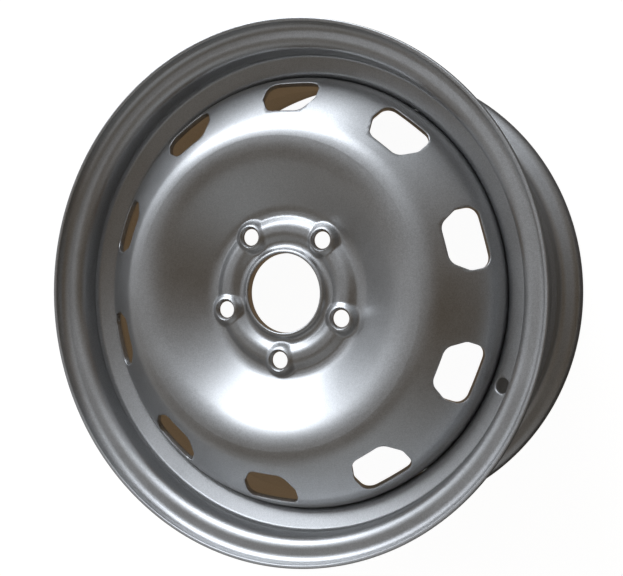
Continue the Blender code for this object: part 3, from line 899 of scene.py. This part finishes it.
# Painted warm glow: for glossy rays alone the floor under the wheel glows, though it is no lamp.
WARM_TO, WARM_END = 0.18, 0.23
PAINTED_GLOW_STRENGTH = 0.20
BACKDROP_STRENGTH = 0.96
unshaded = spread_node(floor_tree, from_axis.outputs["Value"], PAINTED_SHADE_TO, WHITE_FROM, 0.0, 1.0)
unshaded = math_node(floor_tree, "MAXIMUM", unshaded, direct)
link(floor_tree, math_node(floor_tree, "MULTIPLY", unshaded, BACKDROP_STRENGTH), glow.inputs["Strength"])
within = spread_node(floor_tree, from_axis.outputs["Value"], WARM_TO, WARM_END, PAINTED_GLOW_STRENGTH, 0.0)
within = math_node(floor_tree, "MULTIPLY", within, rays.outputs["Is Glossy Ray"])
# The painted warm glow under the wheel, a painted reflection seen by glossy rays only.
warm = floor_tree.nodes.new("ShaderNodeEmission")
warm.inputs["Color"].default_value = (1.0, 0.66, 0.36, 1)
link(floor_tree, within, warm.inputs["Strength"])
under = floor_tree.nodes.new("ShaderNodeAddShader")
link(floor_tree, backdrop.outputs[0], under.inputs[0])
link(floor_tree, warm.outputs[0], under.inputs[1])
choice = floor_tree.nodes.new("ShaderNodeMixShader")
link(floor_tree, seen, choice.inputs["Fac"])
link(floor_tree, pale.outputs[0], choice.inputs[1])
link(floor_tree, under.outputs[0], choice.inputs[2])
link(floor_tree, choice.outputs[0], floor_tree.nodes["Material Output"].inputs["Surface"])
floor_mesh.materials.append(floor_paint)
floor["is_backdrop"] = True

SKY_AZIMUTH = 76.0
SKY_ELEVATION = 26.0
SKY_FOCUS = 3.4                # how quickly the sky falls off from its brightest place
world = bpy.data.worlds.new("studio")
bpy.context.scene.world = world
world.use_nodes = True
sky_tree = world.node_tree
direction = sky_tree.nodes.new("ShaderNodeTexCoord").outputs["Generated"]


def sky_way(azimuth, elevation):
    turn, rise = math.radians(azimuth), math.radians(elevation)
    return Vector((math.cos(turn) * math.cos(rise), math.sin(turn) * math.cos(rise), math.sin(rise)))


def facing(way):
    dot = sky_tree.nodes.new("ShaderNodeVectorMath")
    dot.operation = "DOT_PRODUCT"
    link(sky_tree, direction, dot.inputs[0])
    dot.inputs[1].default_value = way
    return dot.outputs["Value"]


def soft_patch(azimuth, elevation, focus):
    falling = math_node(sky_tree, "MULTIPLY_ADD", facing(sky_way(azimuth, elevation)), focus, -focus)
    return math_node(sky_tree, "EXPONENT", falling)


def smooth_step(value, low, high):
    step = sky_tree.nodes.new("ShaderNodeMapRange")
    step.interpolation_type = "SMOOTHSTEP"
    step.inputs["From Min"].default_value = low
    step.inputs["From Max"].default_value = high
    link(sky_tree, value, step.inputs["Value"])
    return step.outputs["Result"]


def add_light(total, colour, strength):
    light = sky_tree.nodes.new("ShaderNodeBackground")
    light.inputs["Color"].default_value = (*colour, 1)
    link(sky_tree, strength, light.inputs["Strength"])
    both = sky_tree.nodes.new("ShaderNodeAddShader")
    link(sky_tree, total, both.inputs[0])
    link(sky_tree, light.outputs[0], both.inputs[1])
    return both.outputs[0]


room = sky_tree.nodes["Background"]
room.inputs["Color"].default_value = (0.082, 0.056, 0.028, 1)
room.inputs["Strength"].default_value = 1.0
in_front = smooth_step(facing(sky_way(75.0, 0.0)), -0.43, 0.15)
main_sky = math_node(sky_tree, "MULTIPLY", soft_patch(SKY_AZIMUTH, SKY_ELEVATION, SKY_FOCUS), in_front)
whole = add_light(room.outputs[0], (0.90, 0.99, 1.10), main_sky)
for colour, patch in (
    ((0.22, 0.24, 0.26), (195.0, 0.0, 6.0)),
    ((0.34, 0.38, 0.42), (246.0, 22.0, 7.0)),
    ((0.76, 0.82, 0.90), (116.0, 2.0, 12.0)),
):
    whole = add_light(whole, colour, soft_patch(*patch))
rise = sky_tree.nodes.new("ShaderNodeSeparateXYZ")
link(sky_tree, direction, rise.inputs[0])
backdrop_band = math_node(sky_tree, "SUBTRACT", 1.0, smooth_step(rise.outputs["Z"], 0.02, 0.12))
whole = add_light(whole, (0.30, 0.30, 0.30), backdrop_band)
link(sky_tree, whole, sky_tree.nodes["World Output"].inputs["Surface"])

LAMP_DISTANCE = 2.0
LAMP_LIFT = Vector((0, 0, 0.15))
toward_lamp = sky_way(84.0, 26.0)
lamp = bpy.data.lights.new("soft_lamp", "AREA")
lamp.shape = "RECTANGLE"
lamp.size = 1.8
lamp.size_y = 1.7
lamp.energy = 34.0
lamp.color = (0.93, 0.98, 1.05)
soft_lamp = bpy.data.objects.new("soft_lamp", lamp)
bpy.context.scene.collection.objects.link(soft_lamp)
soft_lamp.location = toward_lamp * LAMP_DISTANCE + LAMP_LIFT
soft_lamp.rotation_euler = toward_lamp.to_track_quat("Z", "Y").to_euler()

# The camera stands where a fit to the wheel's outlines in the photograph puts it.

camera_data = bpy.data.cameras.new("camera")
camera_data.sensor_width = 36.0
camera_data.lens = 49.2287
camera = bpy.data.objects.new("camera", camera_data)
bpy.context.scene.collection.objects.link(camera)
camera.location = (0.2708784, -0.1642520, 0.7985705)
camera.rotation_euler = [math.radians(angle) for angle in (-0.364854, 24.603482, -32.813243)]
bpy.context.scene.camera = camera

bpy.context.scene.view_settings.view_transform = "Standard"

size = {"cad": [list(corner) for corner in cad_box], "visual": [list(corner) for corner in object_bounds()]}
